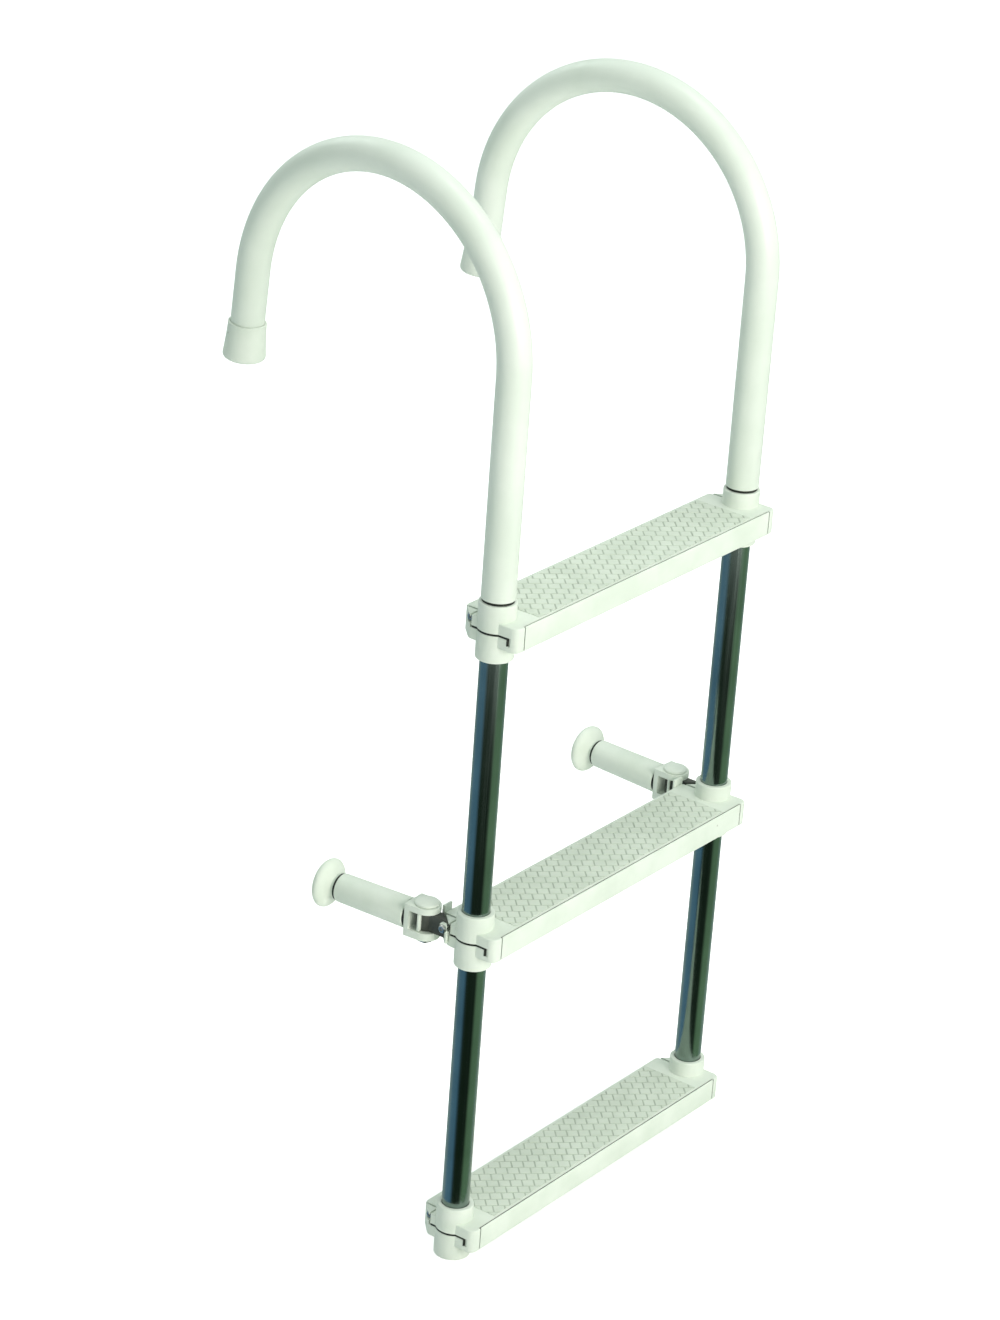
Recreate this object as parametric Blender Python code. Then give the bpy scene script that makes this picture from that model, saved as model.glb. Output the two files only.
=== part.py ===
"""Boat boarding ladder with two swivelling hooks, three clamped steps and two folding stand-offs.

Metres, +Z up, +Y towards the boat, +X to the climber's right. The origin is midway between the
hooks, on the line where their crests rest on the gunwale.
"""
import math

import bmesh
import bpy
from mathutils import Matrix, Vector

# Overall sizes
RAIL_SPACING = 0.322       # between the two rail axes
STEP_PITCH = 0.260         # from tread to tread
HOOK_RADIUS = 0.132        # of the hook's centre line
HOOK_RISE = 0.189          # from the upper tread to the centre of the hook's arc
STEP_NAMES = ("lower", "middle", "upper")

# Tubes
TUBE_RADIUS = 0.011
TUBE_WALL = 0.0015
SLEEVE_WALL = 0.0020
GAP = 0.0003               # between pieces that touch

# Hooks
HOOK_ARC_SHORT = math.radians(4.5)  # how far the arc stops short of a half turn
HOOK_TIP = 0.069           # straight leg after the arc, down to the tube's end
HOOK_TOE_IN = {"left": math.radians(3.65), "right": math.radians(1.3)}
SLEEVE_GAP = 0.0022        # between the upper collar and the sleeve
CAP_HEIGHT = 0.030
CAP_WALL = 0.0014          # at the cap's mouth
CAP_FLARE = 0.0018         # the cap's lower rim stands out this much further
CAP_FLOOR = 0.003
SPIGOT_REACH = 0.040       # into each of the two tubes
SPIGOT_WALL = 0.003

# Steps, measured from the rail axis and from the tread
STEP_FRONT = 0.0275
STEP_BACK = 0.0305
END_REACH = 0.011          # the step's end beyond the rail axis
FRONT_CHAMFER = 0.006
BACK_CHAMFER = 0.013
SKIRT = 0.020              # height of the step's edge
SKIRT_WALL = 0.003
DECK = 0.0035
RIB = 0.0025
RIB_CELLS = 6
HUB_REACH = 0.022          # solid stretch inboard of each rail axis
COLLAR_WALL = 0.0035
COLLAR_ABOVE = 0.013
COLLAR_BELOW = 0.033

# Collar slits
SLIT = 0.0014
SLIT_DEPTH = 0.0095        # of the level slit, below the tread
SLIT_END = math.radians(29)            # where the slit stops, outboard of straight ahead
SLIT_DROP = 0.005
SPLIT = 0.0024

# Clamp screws and nuts
SCREW_RADIUS = 0.0020
SCREW_HEAD_RADIUS = 0.0034
SCREW_HEAD = 0.0024
SCREW_DEPTH = 0.0044       # of the screw's axis, below the tread
SCREW_BACK = 0.0195        # of the screw's axis, behind the rail axis
SCREW_SEAT = 0.0045        # the head's seat, outboard of the rail axis
SCREW_END = 0.0125         # the screw's tip, inboard of the rail axis
NUT_SIDE = 0.0066
NUT_THICK = 0.0032
NUT_INBOARD = 0.0078       # the nut's outboard face, inboard of the rail axis

# Stand-offs, measured from the rail axis and from the middle tread
STANDOFF_OFFSET = 0.0062   # outboard
STANDOFF_DEPTH = 0.0078    # of the arm's axis, below the tread
STANDOFF_TOE_OUT = math.radians(3.2)
FORK_CLEARANCE = 0.0005    # between the fork and the bracket's plate
PIN_RADIUS = 0.004
PIN_HEAD_RADIUS = 0.0095
PIN_HEAD = 0.003
PIN_NUT_RADIUS = 0.0065
PIN_NUT = 0.004
FORK_RADIUS = 0.0115
FORK_HEIGHT = 0.0275
FORK_TOP = 0.005
FORK_FOOT = 0.0065
FORK_POST = 0.0042         # thickness of the wall that joins the fork's plates
FORK_POST_AT = 0.0090      # from the pin to the wall's inner face
SPIGOT_LENGTH = 0.014      # of the fork's spigot in the arm
ARM_LENGTH = 0.0654
ARM_ROOT_RADIUS = 0.0125
ARM_END_RADIUS = 0.0117
ARM_WALL = 0.0030
ARM_END_WALL = 0.012
ARM_SLOT = 0.0022          # open slot between the fork and the arm
BRACKET_PLATE = 0.0020
BRACKET_CHEEK = 0.003
BRACKET_CHEEK_FROM = 0.0166  # where the cheek starts, behind the rail axis
BRACKET_INBOARD = 0.011
BOSS_RADIUS = 0.0082
TONGUE_HALF_WIDTH = 0.0045
STEM_RADIUS = 0.004
STEM_INSIDE = 0.028
FOOT_SLOT = 0.0018         # between the arm's end and the foot at rest
FOOT_RADIUS = 0.020
FOOT_NECK_RADIUS = 0.0098
FOOT_NECK = 0.003
FOOT_THICK = 0.0155
FOOT_FLAT_RADIUS = 0.008

# Rail plugs
PLUG_HEAD = 0.003
PLUG_LENGTH = 0.016

# Facets
ROUND = 24
HOOK_ROUND = 16
HOOK_ARC_STEPS = 15
PROUD = 0.001              # how far a cutter runs past the surface it opens

# Derived places
SLEEVE_RADIUS = TUBE_RADIUS + GAP + SLEEVE_WALL
COLLAR_BORE = TUBE_RADIUS + GAP
COLLAR_RADIUS = COLLAR_BORE + COLLAR_WALL
RAIL_Y = -HOOK_RADIUS
HOOK_CENTRE_Z = SLEEVE_RADIUS - HOOK_RADIUS
UPPER_TREAD_Z = HOOK_CENTRE_Z - HOOK_RISE
TREAD_Z = {
    name: UPPER_TREAD_Z - STEP_PITCH * (len(STEP_NAMES) - 1 - index)
    for index, name in enumerate(STEP_NAMES)
}
TUBE_JOINT_Z = UPPER_TREAD_Z - SLIT_DEPTH
RAIL_BOTTOM_Z = TREAD_Z["lower"] - COLLAR_BELOW + PLUG_HEAD
SIDES = {"left": -1, "right": 1}
STEP_HALF_LENGTH = RAIL_SPACING / 2 + END_REACH
CORNER_SUM = END_REACH + STEP_BACK - BACK_CHAMFER            # x + y along the step's slanted rear corner
PLATE_SUM = CORNER_SUM + math.sqrt(2) * (GAP + BRACKET_PLATE)
PLATE_MIDDLE_SUM = CORNER_SUM + math.sqrt(2) * (GAP + BRACKET_PLATE / 2)
PIN_BACK = PLATE_SUM + math.sqrt(2) * (FORK_CLEARANCE + FORK_RADIUS) - STANDOFF_OFFSET


def make_material(name, colour, roughness, metallic=0.0):
    material = bpy.data.materials.new(name)
    material.use_nodes = True
    shader = material.node_tree.nodes["Principled BSDF"]
    shader.inputs["Base Color"].default_value = (*colour, 1.0)
    shader.inputs["Roughness"].default_value = roughness
    shader.inputs["Metallic"].default_value = metallic
    return material


def clear_scene():
    for obj in list(bpy.data.objects):
        bpy.data.objects.remove(obj, do_unlink=True)


def finish(name, bm, material, parent=None, smooth=True):
    """Turns a bmesh into a named object, its faces outwards and its round sides smooth."""
    bmesh.ops.remove_doubles(bm, verts=bm.verts, dist=1e-7)
    bmesh.ops.recalc_face_normals(bm, faces=bm.faces)
    mesh = bpy.data.meshes.new(name)
    bm.to_mesh(mesh)
    bm.free()
    obj = bpy.data.objects.new(name, mesh)
    bpy.context.scene.collection.objects.link(obj)
    if material:
        mesh.materials.append(material)
    if smooth:
        mesh.shade_smooth()
        mesh.set_sharp_from_angle(angle=math.radians(35))
    obj.parent = parent
    return obj


def make_empty(name, location, turn=0.0):
    empty = bpy.data.objects.new(name, None)
    empty.location = location
    empty.rotation_euler = (0, 0, turn)
    bpy.context.scene.collection.objects.link(empty)
    return empty


def add_prism(bm, outline, low, high):
    """Adds an upright prism over a flat outline of (x, y) points."""
    floor = [bm.verts.new((x, y, low)) for x, y in outline]
    face = bm.faces.new(floor)
    grown = bmesh.ops.extrude_face_region(bm, geom=[face])
    tops = [item for item in grown["geom"] if isinstance(item, bmesh.types.BMVert)]
    bmesh.ops.translate(bm, verts=tops, vec=(0, 0, high - low))


def add_ring(bm, radius, height, matrix, steps):
    turns = [2 * math.pi * step / steps for step in range(steps)]
    points = [Vector((radius * math.cos(t), radius * math.sin(t), height)) for t in turns]
    return [bm.verts.new(matrix @ point) for point in points]


def add_lathe(bm, profile, matrix=Matrix(), steps=ROUND, hollow=False):
    """Adds a turned solid through (radius, height) points: flat at both ends, or hollow and closed on itself."""
    rings = [add_ring(bm, radius, height, matrix, steps) for radius, height in profile]
    for ring, following in zip(rings, rings[1:]):
        bridge(bm, ring, following)
    if hollow:
        bridge(bm, rings[-1], rings[0])
    else:
        bm.faces.new(rings[0])
        bm.faces.new(rings[-1])


def bridge(bm, ring, following):
    for step in range(len(ring)):
        after = (step + 1) % len(ring)
        bm.faces.new((ring[step], ring[after], following[after], following[step]))


def disc_profile(radius, low, high):
    return [(radius, low), (radius, high)]


def ring_profile(outer, inner, low, high):
    return [(inner, low), (outer, low), (outer, high), (inner, high)]


def hide_cutter(obj):
    obj.hide_render = True
    obj.display_type = "WIRE"
    return obj


def add_boolean(obj, other, operation):
    modifier = obj.modifiers.new(operation.title() + " " + other.name, "BOOLEAN")
    modifier.operation = operation
    modifier.object = other


def cylinder_cutter(name, radius, low, high, matrix=Matrix(), parent=None, steps=ROUND):
    bm = bmesh.new()
    add_lathe(bm, disc_profile(radius, low, high), matrix, steps)
    return hide_cutter(finish(name, bm, None, parent, smooth=False))


def box_cutter(name, low, high, parent=None):
    bm = bmesh.new()
    outline = [(low[0], low[1]), (high[0], low[1]), (high[0], high[1]), (low[0], high[1])]
    add_prism(bm, outline, low[2], high[2])
    return hide_cutter(finish(name, bm, None, parent, smooth=False))


# Rails ----------------------------------------------------------------------------------------


def make_rail(side_name, side):
    bm = bmesh.new()
    place = Matrix.Translation((side * RAIL_SPACING / 2, RAIL_Y, 0))
    profile = ring_profile(TUBE_RADIUS, TUBE_RADIUS - TUBE_WALL, RAIL_BOTTOM_Z, TUBE_JOINT_Z)
    add_lathe(bm, profile, place, hollow=True)
    finish(f"rail_{side_name}", bm, aluminium)


def make_rail_plug(side_name, side):
    bm = bmesh.new()
    place = Matrix.Translation((side * RAIL_SPACING / 2, RAIL_Y, RAIL_BOTTOM_Z - GAP))
    stem = TUBE_RADIUS - TUBE_WALL - GAP
    profile = [(TUBE_RADIUS - GAP, -PLUG_HEAD + GAP), (TUBE_RADIUS, -PLUG_HEAD / 2), (TUBE_RADIUS, 0)]
    profile += [(stem, 0), (stem, PLUG_LENGTH)]
    add_lathe(bm, profile, place)
    finish(f"rail_plug_{side_name}", bm, white_plastic)


# Hooks ----------------------------------------------------------------------------------------


def hook_path(start_z, tip):
    """Centre points and tangents from start_z on the rail axis, over the arc, to tip along the last leg."""
    stations = [(Vector((0, 0, start_z)), Vector((0, 0, 1)))]
    sweep = math.pi - HOOK_ARC_SHORT
    for step in range(HOOK_ARC_STEPS + 1):
        turn = sweep * step / HOOK_ARC_STEPS
        point = Vector((0, HOOK_RADIUS * (1 - math.cos(turn)), HOOK_CENTRE_Z + HOOK_RADIUS * math.sin(turn)))
        stations.append((point, Vector((0, math.sin(turn), math.cos(turn)))))
    last, along = stations[-1]
    stations.append((last + along * tip, along))
    return stations


def add_sweep(bm, stations, outer, inner):
    """Adds a tube along the stations, which all lie in the plane x = 0."""
    loops = []
    for radius in (outer, inner):
        rings = []
        for point, along in stations:
            across = Vector((1, 0, 0)).cross(along)
            turns = [2 * math.pi * step / HOOK_ROUND for step in range(HOOK_ROUND)]
            ring = [point + radius * (math.cos(t) * Vector((1, 0, 0)) + math.sin(t) * across) for t in turns]
            rings.append([bm.verts.new(corner) for corner in ring])
        for ring, following in zip(rings, rings[1:]):
            bridge(bm, ring, following)
        loops.append(rings)
    bridge(bm, loops[0][0], loops[1][0])
    bridge(bm, loops[0][-1], loops[1][-1])


def make_hook(side_name, side):
    pivot = make_empty(f"hook_pivot_{side_name}", (side * RAIL_SPACING / 2, RAIL_Y, 0), side * HOOK_TOE_IN[side_name])
    bm = bmesh.new()
    add_sweep(bm, hook_path(TUBE_JOINT_Z + GAP, HOOK_TIP), TUBE_RADIUS, TUBE_RADIUS - TUBE_WALL)
    finish(f"hook_tube_{side_name}", bm, aluminium, pivot)
    bm = bmesh.new()
    sleeve_start = UPPER_TREAD_Z + COLLAR_ABOVE + SLEEVE_GAP
    add_sweep(bm, hook_path(sleeve_start, HOOK_TIP), SLEEVE_RADIUS, TUBE_RADIUS + GAP)
    finish(f"hook_sleeve_{side_name}", bm, white_sleeve, pivot)
    make_hook_cap(side_name, pivot)
    make_spigot(side_name, pivot)


def make_hook_cap(side_name, pivot):
    tip, along = hook_path(0, HOOK_TIP)[-1]
    place = Matrix.Translation(tip) @ along.to_track_quat("Z", "X").to_matrix().to_4x4()
    inside = SLEEVE_RADIUS + GAP
    mouth = inside + CAP_WALL
    rim = mouth + CAP_FLARE
    floor = GAP + CAP_FLOOR
    profile = [(inside, GAP), (inside, floor - CAP_HEIGHT), (mouth, floor - CAP_HEIGHT)]
    profile += [(rim, -CAP_FLOOR), (rim, -GAP), (rim - CAP_FLOOR / 3, floor * 0.7), (rim - CAP_FLOOR, floor)]
    bm = bmesh.new()
    add_lathe(bm, profile, place, HOOK_ROUND)
    finish(f"hook_cap_{side_name}", bm, white_plastic, pivot)


def make_spigot(side_name, pivot):
    outer = TUBE_RADIUS - TUBE_WALL - GAP
    low = TUBE_JOINT_Z - SPIGOT_REACH
    high = TUBE_JOINT_Z + SPIGOT_REACH
    bm = bmesh.new()
    add_lathe(bm, ring_profile(outer, outer - SPIGOT_WALL, low, high), hollow=True)
    finish(f"hook_spigot_{side_name}", bm, grey_plastic, pivot)


# Steps ----------------------------------------------------------------------------------------


def step_outline():
    front_x = STEP_HALF_LENGTH - FRONT_CHAMFER
    back_x = STEP_HALF_LENGTH - BACK_CHAMFER
    right = [(front_x, -STEP_FRONT), (STEP_HALF_LENGTH, FRONT_CHAMFER - STEP_FRONT)]
    right += [(STEP_HALF_LENGTH, STEP_BACK - BACK_CHAMFER), (back_x, STEP_BACK)]
    left = [(-x, y) for x, y in reversed(right)]
    return right + left


def slit_outline(side):
    """Plan of the level slit: from straight behind the rail, round outboard, to just short of the front."""
    reach = STEP_BACK + STEP_FRONT
    sweep = math.pi - SLIT_END
    turns = [math.pi / 2 + sweep * step / 6 for step in range(7)]
    fan = [(-side * reach * math.cos(t), reach * math.sin(t)) for t in turns]
    return [(0, 0)] + fan


def add_slits(step, name, side_name, side):
    rail_x = side * RAIL_SPACING / 2
    bm = bmesh.new()
    add_prism(bm, slit_outline(side), -SLIT_DEPTH - SLIT / 2, -SLIT_DEPTH + SLIT / 2)
    bmesh.ops.translate(bm, verts=bm.verts, vec=(rail_x, 0, 0))
    level = hide_cutter(finish(f"cut_slit_{name}_{side_name}", bm, None, step, smooth=False))
    add_boolean(step, level, "DIFFERENCE")
    bm = bmesh.new()
    half = SLIT / 2
    reach = COLLAR_RADIUS + PROUD
    outline = [(-half, 0), (half, 0), (half, reach), (-half, reach)]
    add_prism(bm, outline, -SLIT_DEPTH - SLIT_DROP, -SLIT_DEPTH)
    turn = Matrix.Rotation(math.pi + side * (SLIT_END + math.atan(half / COLLAR_RADIUS)), 4, "Z")
    bmesh.ops.transform(bm, matrix=Matrix.Translation((rail_x, 0, 0)) @ turn, verts=bm.verts)
    drop = hide_cutter(finish(f"cut_drop_{name}_{side_name}", bm, None, step, smooth=False))
    add_boolean(step, drop, "DIFFERENCE")
    low = (rail_x - SPLIT / 2, 0, -SLIT_DEPTH)
    high = (rail_x + SPLIT / 2, STEP_BACK + PROUD, COLLAR_ABOVE + PROUD)
    add_boolean(step, box_cutter(f"cut_split_{name}_{side_name}", low, high, step), "DIFFERENCE")


def add_screw_holes(step, name, side_name, side):
    place = screw_matrix(side)
    head = SCREW_HEAD_RADIUS + GAP
    seat = cylinder_cutter(f"cut_head_{name}_{side_name}", head, 0, END_REACH, place, step, 16)
    add_boolean(step, seat, "DIFFERENCE")
    shank = SCREW_RADIUS + GAP
    depth = SCREW_SEAT + SCREW_END + GAP
    hole = cylinder_cutter(f"cut_shank_{name}_{side_name}", shank, -depth, PROUD, place, step, 12)
    add_boolean(step, hole, "DIFFERENCE")
    half = NUT_SIDE / 2 + GAP
    near = side * (RAIL_SPACING / 2 - NUT_INBOARD + GAP)
    far = side * (RAIL_SPACING / 2 - NUT_INBOARD - NUT_THICK - GAP)
    low = (min(near, far), SCREW_BACK - half, -SCREW_DEPTH - half)
    high = (max(near, far), STEP_BACK + PROUD, -SCREW_DEPTH + half)
    add_boolean(step, box_cutter(f"cut_nut_{name}_{side_name}", low, high, step), "DIFFERENCE")


def screw_matrix(side):
    """From a screw's own frame, head on +Z at its seat, to the step's frame."""
    place = Matrix.Translation((side * (RAIL_SPACING / 2 + SCREW_SEAT), SCREW_BACK, -SCREW_DEPTH))
    return place @ Matrix.Rotation(side * math.pi / 2, 4, "Y")


def add_underside_cells(step, name):
    """Hollows the step from below and leaves the skirt, the deck and a grid of ribs."""
    low_x = -RAIL_SPACING / 2 + HUB_REACH
    cell = (RAIL_SPACING - 2 * HUB_REACH - RIB * (RIB_CELLS - 1)) / RIB_CELLS
    rows = [(-STEP_FRONT + SKIRT_WALL, -RIB / 2), (RIB / 2, STEP_BACK - SKIRT_WALL)]
    bm = bmesh.new()
    for index in range(RIB_CELLS):
        left = low_x + index * (cell + RIB)
        for low_y, high_y in rows:
            outline = [(left, low_y), (left + cell, low_y), (left + cell, high_y), (left, high_y)]
            add_prism(bm, outline, -SKIRT - PROUD, -DECK)
    cells = hide_cutter(finish(f"cut_cells_{name}", bm, None, step, smooth=False))
    add_boolean(step, cells, "DIFFERENCE")


def make_step(name):
    bm = bmesh.new()
    add_prism(bm, step_outline(), -SKIRT, 0)
    step = finish(f"step_{name}", bm, white_plastic, smooth=False)
    step.location = (0, RAIL_Y, TREAD_Z[name])
    add_underside_cells(step, name)
    for side_name, side in SIDES.items():
        place = Matrix.Translation((side * RAIL_SPACING / 2, 0, 0))
        collar = cylinder_cutter(
            f"add_collar_{name}_{side_name}", COLLAR_RADIUS, -COLLAR_BELOW, COLLAR_ABOVE, place, step
        )
        add_boolean(step, collar, "UNION")
        low = -COLLAR_BELOW - PROUD
        high = COLLAR_ABOVE + PROUD
        bore = cylinder_cutter(f"cut_bore_{name}_{side_name}", COLLAR_BORE, low, high, place, step)
        add_boolean(step, bore, "DIFFERENCE")
        add_slits(step, name, side_name, side)
        add_screw_holes(step, name, side_name, side)
        make_clamp_screw(name, side_name, side)
        make_clamp_nut(name, side_name, side)


def make_clamp_screw(name, side_name, side):
    """The middle step's screws also hold the stand-off brackets, so their heads sit further out, on its seat."""
    outward = END_REACH + BRACKET_CHEEK + 2 * GAP - SCREW_SEAT if name == "middle" else 0
    length = SCREW_SEAT + SCREW_END
    base = GAP + outward
    profile = [(SCREW_RADIUS, -length), (SCREW_RADIUS, base), (SCREW_HEAD_RADIUS, base)]
    profile += [(SCREW_HEAD_RADIUS, base + SCREW_HEAD / 2), (SCREW_HEAD_RADIUS * 0.7, base + SCREW_HEAD)]
    bm = bmesh.new()
    add_lathe(bm, profile, screw_matrix(side), 16)
    screw = finish(f"clamp_screw_{name}_{side_name}", bm, steel)
    screw.location = (0, RAIL_Y, TREAD_Z[name])


def make_clamp_nut(name, side_name, side):
    half = NUT_SIDE / 2
    centre_x = side * (RAIL_SPACING / 2 - NUT_INBOARD - NUT_THICK / 2)
    bm = bmesh.new()
    outline = [(-half, -half), (half, -half), (half, half), (-half, half)]
    add_prism(bm, outline, -NUT_THICK / 2, NUT_THICK / 2)
    place = Matrix.Translation((centre_x, SCREW_BACK, -SCREW_DEPTH)) @ Matrix.Rotation(math.pi / 2, 4, "Y")
    bmesh.ops.transform(bm, matrix=place, verts=bm.verts)
    nut = finish(f"clamp_nut_{name}_{side_name}", bm, steel, smooth=False)
    nut.location = (0, RAIL_Y, TREAD_Z[name])
    thread = SCREW_RADIUS + GAP
    hole = cylinder_cutter(
        f"cut_thread_{name}_{side_name}", thread, -NUT_THICK, NUT_THICK, place, nut, 12
    )
    add_boolean(nut, hole, "DIFFERENCE")


# Stand-offs -----------------------------------------------------------------------------------


def bracket_outline(side):
    """Plan of the bracket's base, from the rail axis: a plate round the step's rear corner and a short cheek."""
    slant = GAP * math.tan(math.pi / 8)
    inner_x = END_REACH + GAP
    outer_x = inner_x + BRACKET_CHEEK
    plate_y = STEP_BACK + GAP
    outer_y = plate_y + BRACKET_PLATE
    points = [(-BRACKET_INBOARD, plate_y), (END_REACH - BACK_CHAMFER + slant, plate_y)]
    points += [(inner_x, STEP_BACK - BACK_CHAMFER + slant), (inner_x, BRACKET_CHEEK_FROM)]
    points += [(outer_x, BRACKET_CHEEK_FROM), (outer_x, PLATE_SUM - outer_x)]
    points += [(PLATE_SUM - outer_y, outer_y), (-BRACKET_INBOARD, outer_y)]
    return [(side * x, y) for x, y in points]


def seat_outline(side):
    """Plan of the block under the clamp screw's head, rooted in the slanted plate."""
    seat_x = END_REACH + BRACKET_CHEEK + 2 * GAP
    near_y = BRACKET_CHEEK_FROM + GAP
    far_y = SCREW_BACK + SCREW_HEAD_RADIUS
    points = [(PLATE_MIDDLE_SUM - near_y, near_y), (seat_x, near_y)]
    points += [(seat_x, far_y), (PLATE_MIDDLE_SUM - far_y, far_y)]
    return [(side * x, y) for x, y in points]


def boss_outline(side):
    """Plan of the bracket's tongue, rooted in the slanted plate, and of the round boss at its end."""
    start = math.asin(TONGUE_HALF_WIDTH / BOSS_RADIUS) - math.pi / 2
    turns = [start + (math.pi - 2 * start) * step / (ROUND - 4) for step in range(ROUND - 3)]
    points = [(STANDOFF_OFFSET + BOSS_RADIUS * math.cos(t), PIN_BACK + BOSS_RADIUS * math.sin(t)) for t in turns]
    for x in (STANDOFF_OFFSET - TONGUE_HALF_WIDTH, STANDOFF_OFFSET + TONGUE_HALF_WIDTH):
        points.append((x, PLATE_MIDDLE_SUM - x))
    return [(side * x, y) for x, y in points]


def make_bracket(side_name, side):
    """Bracket in the frame of the rail axis at the arm's height."""
    half = FORK_HEIGHT / 2
    tongue_low = -half + FORK_FOOT + GAP
    tongue_high = half - FORK_TOP - GAP
    pin_x = side * STANDOFF_OFFSET
    bm = bmesh.new()
    add_prism(bm, bracket_outline(side), -half + GAP, half - GAP)
    bracket = finish(f"standoff_bracket_{side_name}", bm, white_plastic, smooth=False)
    bracket.location = (side * RAIL_SPACING / 2, RAIL_Y, TREAD_Z["middle"] - STANDOFF_DEPTH)
    bm = bmesh.new()
    add_prism(bm, boss_outline(side), tongue_low, tongue_high)
    boss = hide_cutter(finish(f"add_boss_{side_name}", bm, None, bracket, smooth=False))
    add_boolean(bracket, boss, "UNION")
    lift = STANDOFF_DEPTH - SCREW_DEPTH
    bm = bmesh.new()
    add_prism(bm, seat_outline(side), lift - SCREW_HEAD_RADIUS, lift + SCREW_HEAD_RADIUS)
    seat = hide_cutter(finish(f"add_seat_{side_name}", bm, None, bracket, smooth=False))
    add_boolean(bracket, seat, "UNION")
    place = Matrix.Translation((pin_x, PIN_BACK, 0))
    bore = cylinder_cutter(f"cut_pin_{side_name}", PIN_RADIUS + GAP, -half, half, place, bracket)
    add_boolean(bracket, bore, "DIFFERENCE")
    place = Matrix.Translation((side * END_REACH, SCREW_BACK, lift)) @ Matrix.Rotation(math.pi / 2, 4, "Y")
    reach = 2 * BRACKET_CHEEK
    hole = cylinder_cutter(f"cut_cheek_{side_name}", SCREW_RADIUS + GAP, -reach, reach, place, bracket, 12)
    add_boolean(bracket, hole, "DIFFERENCE")


def fork_outline():
    """Plan of the fork: round about the pin, square at its back."""
    back = FORK_POST_AT + FORK_POST
    turns = [math.pi * (1 + (step + 0.5) / (ROUND // 2)) for step in range(ROUND // 2)]
    rounded = [(FORK_RADIUS * math.cos(t), FORK_RADIUS * math.sin(t)) for t in turns]
    return rounded + [(FORK_RADIUS, back), (-FORK_RADIUS, back)]


def make_fork(side_name, pivot):
    half = FORK_HEIGHT / 2
    bm = bmesh.new()
    add_prism(bm, fork_outline(), -half, half)
    fork = finish(f"standoff_knuckle_{side_name}", bm, white_plastic, pivot, smooth=False)
    wide = FORK_RADIUS + PROUD
    low = (-wide, -wide, -half + FORK_FOOT)
    high = (wide, FORK_POST_AT, half - FORK_TOP)
    add_boolean(fork, box_cutter(f"cut_fork_{side_name}", low, high, fork), "DIFFERENCE")
    bore = cylinder_cutter(f"cut_fork_pin_{side_name}", PIN_RADIUS + GAP, -half - PROUD, half + PROUD, parent=fork)
    add_boolean(fork, bore, "DIFFERENCE")
    back = FORK_POST_AT + FORK_POST
    along_y = Matrix.Rotation(-math.pi / 2, 4, "X")
    radius = ARM_ROOT_RADIUS - ARM_WALL - GAP
    spigot = cylinder_cutter(
        f"add_spigot_{side_name}", radius, back - PROUD, back + ARM_SLOT + SPIGOT_LENGTH, along_y, fork
    )
    add_boolean(fork, spigot, "UNION")


def make_arm(side_name, pivot):
    root = FORK_POST_AT + FORK_POST + ARM_SLOT
    end = root + ARM_LENGTH
    bore = ARM_ROOT_RADIUS - ARM_WALL
    stem = STEM_RADIUS + GAP
    bottom = end - ARM_END_WALL
    profile = [(bore, bottom), (bore, root), (ARM_ROOT_RADIUS, root), (ARM_END_RADIUS, end)]
    profile += [(stem, end), (stem, bottom)]
    bm = bmesh.new()
    add_lathe(bm, profile, Matrix.Rotation(-math.pi / 2, 4, "X"), hollow=True)
    finish(f"standoff_arm_{side_name}", bm, white_plastic, pivot)


def make_pin(side_name, pivot):
    half = FORK_HEIGHT / 2
    top = half + GAP
    tail = -half - PIN_NUT - GAP
    turns = [math.pi / 2 * step / 5 for step in range(5)]
    dome = [(PIN_HEAD_RADIUS * math.cos(t), top + PIN_HEAD * (1 + 2 * math.sin(t)) / 3) for t in turns]
    profile = [(PIN_RADIUS, tail), (PIN_RADIUS, top), (PIN_HEAD_RADIUS, top)] + dome
    bm = bmesh.new()
    add_lathe(bm, profile, steps=24)
    finish(f"hinge_pin_{side_name}", bm, white_plastic, pivot)
    bm = bmesh.new()
    profile = ring_profile(PIN_NUT_RADIUS, PIN_RADIUS + GAP, tail, -half - GAP)
    add_lathe(bm, profile, steps=24, hollow=True)
    finish(f"hinge_nut_{side_name}", bm, steel, pivot)


def make_foot(side_name, slider):
    """Foot and stem in a frame whose origin is the middle of the arm's end face."""
    along_y = Matrix.Rotation(-math.pi / 2, 4, "X")
    bm = bmesh.new()
    low = FOOT_SLOT + FOOT_NECK
    middle = low + FOOT_THICK / 2
    profile = [(FOOT_NECK_RADIUS, FOOT_SLOT), (FOOT_NECK_RADIUS, low)]
    start = math.asin(FOOT_NECK_RADIUS / FOOT_RADIUS)
    stop = math.pi - math.asin(FOOT_FLAT_RADIUS / FOOT_RADIUS)
    for step in range(1, 9):
        turn = start + (stop - start) * step / 8
        profile.append((FOOT_RADIUS * math.sin(turn), middle - FOOT_THICK / 2 * math.cos(turn)))
    add_lathe(bm, profile, along_y)
    foot = finish(f"standoff_foot_{side_name}", bm, white_rubber, slider)
    socket = low + STEM_RADIUS
    bore = cylinder_cutter(f"cut_stem_{side_name}", STEM_RADIUS + GAP, 0, socket + GAP, along_y, foot)
    add_boolean(foot, bore, "DIFFERENCE")
    bm = bmesh.new()
    add_lathe(bm, disc_profile(STEM_RADIUS, -STEM_INSIDE, socket), along_y, 24)
    finish(f"foot_stem_{side_name}", bm, steel, slider)


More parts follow.
